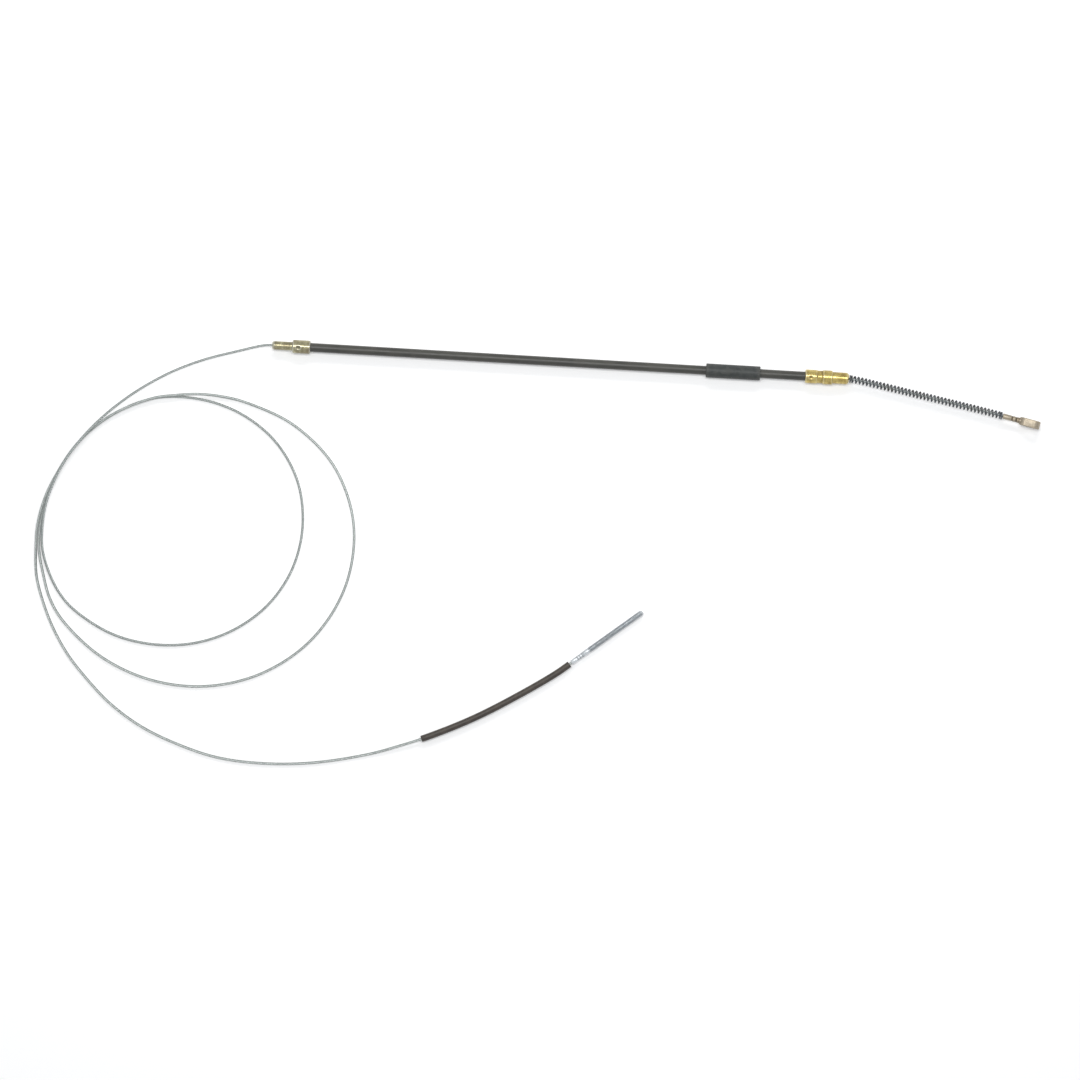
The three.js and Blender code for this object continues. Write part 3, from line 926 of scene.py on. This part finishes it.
def eyePiece():
    s = eyeSettings
    bm = bmesh.new()
    left = s["stemLength"]
    right = left + s["length"]
    slotHigh = s["height"] / 2 - s["wall"]
    rings = []
    for points in (stadium(left, right, s["height"] / 2, s["arcSteps"]),
                   stadium(left + s["shoulder"], right - s["wall"], slotHigh, s["arcSteps"])):
        verts = [bm.verts.new((x, -s["width"] / 2, z)) for x, z in points]
        rings.append([bm.edges.new(pair) for pair in zip(verts, verts[1:] + verts[:1])])
    bmesh.ops.bridge_loops(bm, edges=rings[0] + rings[1])
    grown = bmesh.ops.extrude_face_region(bm, geom=bm.faces[:])
    moved = [g for g in grown["geom"] if isinstance(g, bmesh.types.BMVert)]
    bmesh.ops.translate(bm, verts=moved, vec=(0, s["width"], 0))
    bmesh.ops.remove_doubles(bm, verts=bm.verts, dist=1e-6)
    bmesh.ops.recalc_face_normals(bm, faces=bm.faces)
    roundEdges(bm, 50, s["edge"], 3)
    turnFitting(bm)
    return finishMesh(bm, "eye")


def stemPiece():
    s = eyeSettings

    def even(x):
        return s["stemRadius"]

    outline = [(0.014, s["bore"]), (0, s["bore"]), (0, s["stemRadius"] - 0.00035)]
    outline += [(0.0008, s["stemRadius"])]
    outline += grooved(s["crimps"], even, s["crimpDepth"], s["crimpHalf"])
    flare = s["width"] / 2 - 0.0007
    outline += [(s["stemLength"] - 0.0008, s["stemRadius"]), (s["stemLength"], s["stemRadius"] + 0.0003),
                (s["stemLength"] + 0.0008, flare), (s["stemLength"] + s["shoulder"] - 0.0004, flare),
                (s["stemLength"] + s["shoulder"] - 0.0004, 0.0008), (0.014, 0.0008)]
    bm = spunMesh(outline, 72)
    turnFitting(bm)
    return finishMesh(bm, "stem")


def turnFitting(bm):
    bmesh.ops.rotate(bm, verts=bm.verts, cent=(0, 0, 0), matrix=Matrix.Rotation(fittingAngle, 3, "Z"))
    bmesh.ops.translate(bm, verts=bm.verts, vec=fittingStart)


eye = eyePiece()
stem = stemPiece()
eyeMaterial = finishMaterial("brownPassivate", eyeSettings)
dress(eye, eyeMaterial, "wire", ["end_eye"])
dress(stem, eyeMaterial, "wire")
print("end fitting")

# Hidden spiral and liner keep their solids and get their own finish

spiralSettings = {
    "metallic": 0.9,
    "tones": [(0.30, 0.30, 0.30), (0.42, 0.42, 0.41)],
    "toneScale": 400,
    "glossScale": 900,
    "roughness": (0.3, 0.5),
    "grainScale": 1500,
    "grainStrength": 0.2,
    "grainDepth": 0.00005,
}
linerSettings = {
    "metallic": 0.0,
    "tones": [(0.60, 0.59, 0.52), (0.72, 0.71, 0.64)],
    "toneScale": 200,
    "glossScale": 700,
    "roughness": (0.3, 0.45),
    "grainScale": 1800,
    "grainStrength": 0.15,
    "grainDepth": 0.00004,
}
for node, materialName, settings in (("conduit_spiral", "flatSpiralSteel", spiralSettings),
                                     ("conduit_liner", "linerPlastic", linerSettings)):
    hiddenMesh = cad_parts[node].data
    hiddenMesh.materials.clear()
    hiddenMesh.materials.append(finishMaterial(materialName, settings))
print("hidden pieces")

# Floor and light: a pale table in a soft white room, a long lamp above and a second one behind

stageSettings = {
    "floorColour": (0.96, 0.96, 0.96),
    "floorSize": 12,
    "worldColour": (0.95, 0.97, 1.0),
    "worldStrength": 0.36,
    "keyPower": 27,
    "keySize": (1.8, 0.55),
    "keyPlace": (0.0, 0.5, 2.3),
    "sidePower": 34,
    "sideSize": (1.8, 0.8),
    "sidePlace": (0.0, 2.2, 1.4),
    "floorGlow": 0.2,
}

bm = bmesh.new()
bmesh.ops.create_grid(bm, x_segments=2, y_segments=2, size=stageSettings["floorSize"] / 2)
floor = finishMesh(bm, "floor")
floorMaterial = bpy.data.materials.new("paleTable")
floorTree, floorShader = nodesOf(floorMaterial)
floorTone = stageSettings["floorColour"]
floorStops = [(0.3, floorTone), (0.7, tuple(c * 0.995 for c in floorTone))]
floorColour = addRamp(floorTree, addNoise(floorTree, 2.0), floorStops)
floorTree.links.new(floorColour, floorShader.inputs["Base Color"])
floorShader.inputs["Roughness"].default_value = 0.9


def seenDirectly(tree):
    # 1 where the background is seen by the camera, in metal or through glass
    path = tree.nodes.new("ShaderNodeLightPath")
    either = addMath(tree, "MAXIMUM", path.outputs["Is Camera Ray"], path.outputs["Is Glossy Ray"])
    return addMath(tree, "MAXIMUM", either, path.outputs["Is Transmission Ray"])


floorShader.inputs["Emission Color"].default_value = (1, 1, 1, 1)
glow = addMath(floorTree, "MULTIPLY", seenDirectly(floorTree), stageSettings["floorGlow"])
floorTree.links.new(glow, floorShader.inputs["Emission Strength"])
floor.data.materials.append(floorMaterial)

world = bpy.data.worlds.new("softRoom")
world.use_nodes = True
background = world.node_tree.nodes["Background"]
background.inputs["Color"].default_value = (*stageSettings["worldColour"], 1)
roomLight = addRange(world.node_tree, seenDirectly(world.node_tree), stageSettings["worldStrength"], 1.0)
world.node_tree.links.new(roomLight, background.inputs["Strength"])
scene.world = world


def addLamp(name, power, size, place, aim):
    data = bpy.data.lights.new(name, "AREA")
    data.shape = "RECTANGLE"
    data.size, data.size_y = size
    data.energy = power
    lamp = bpy.data.objects.new(name, data)
    lamp.location = place
    lamp.rotation_mode = "QUATERNION"
    lamp.rotation_quaternion = (Vector(aim) - Vector(place)).to_track_quat("-Z", "Y")
    scene.collection.objects.link(lamp)
    return lamp


stageMiddle = placed(cameraSettings["middle"])
keyPlace = stageMiddle + Vector(stageSettings["keyPlace"])
addLamp("keyLamp", stageSettings["keyPower"], stageSettings["keySize"], keyPlace, stageMiddle)
sidePlace = stageMiddle + Vector(stageSettings["sidePlace"])
sideSize = stageSettings["sideSize"]
sideLamp = addLamp("sideLamp", stageSettings["sidePower"], sideSize, sidePlace, stageMiddle)
sideLamp.visible_glossy = False
print("stage")
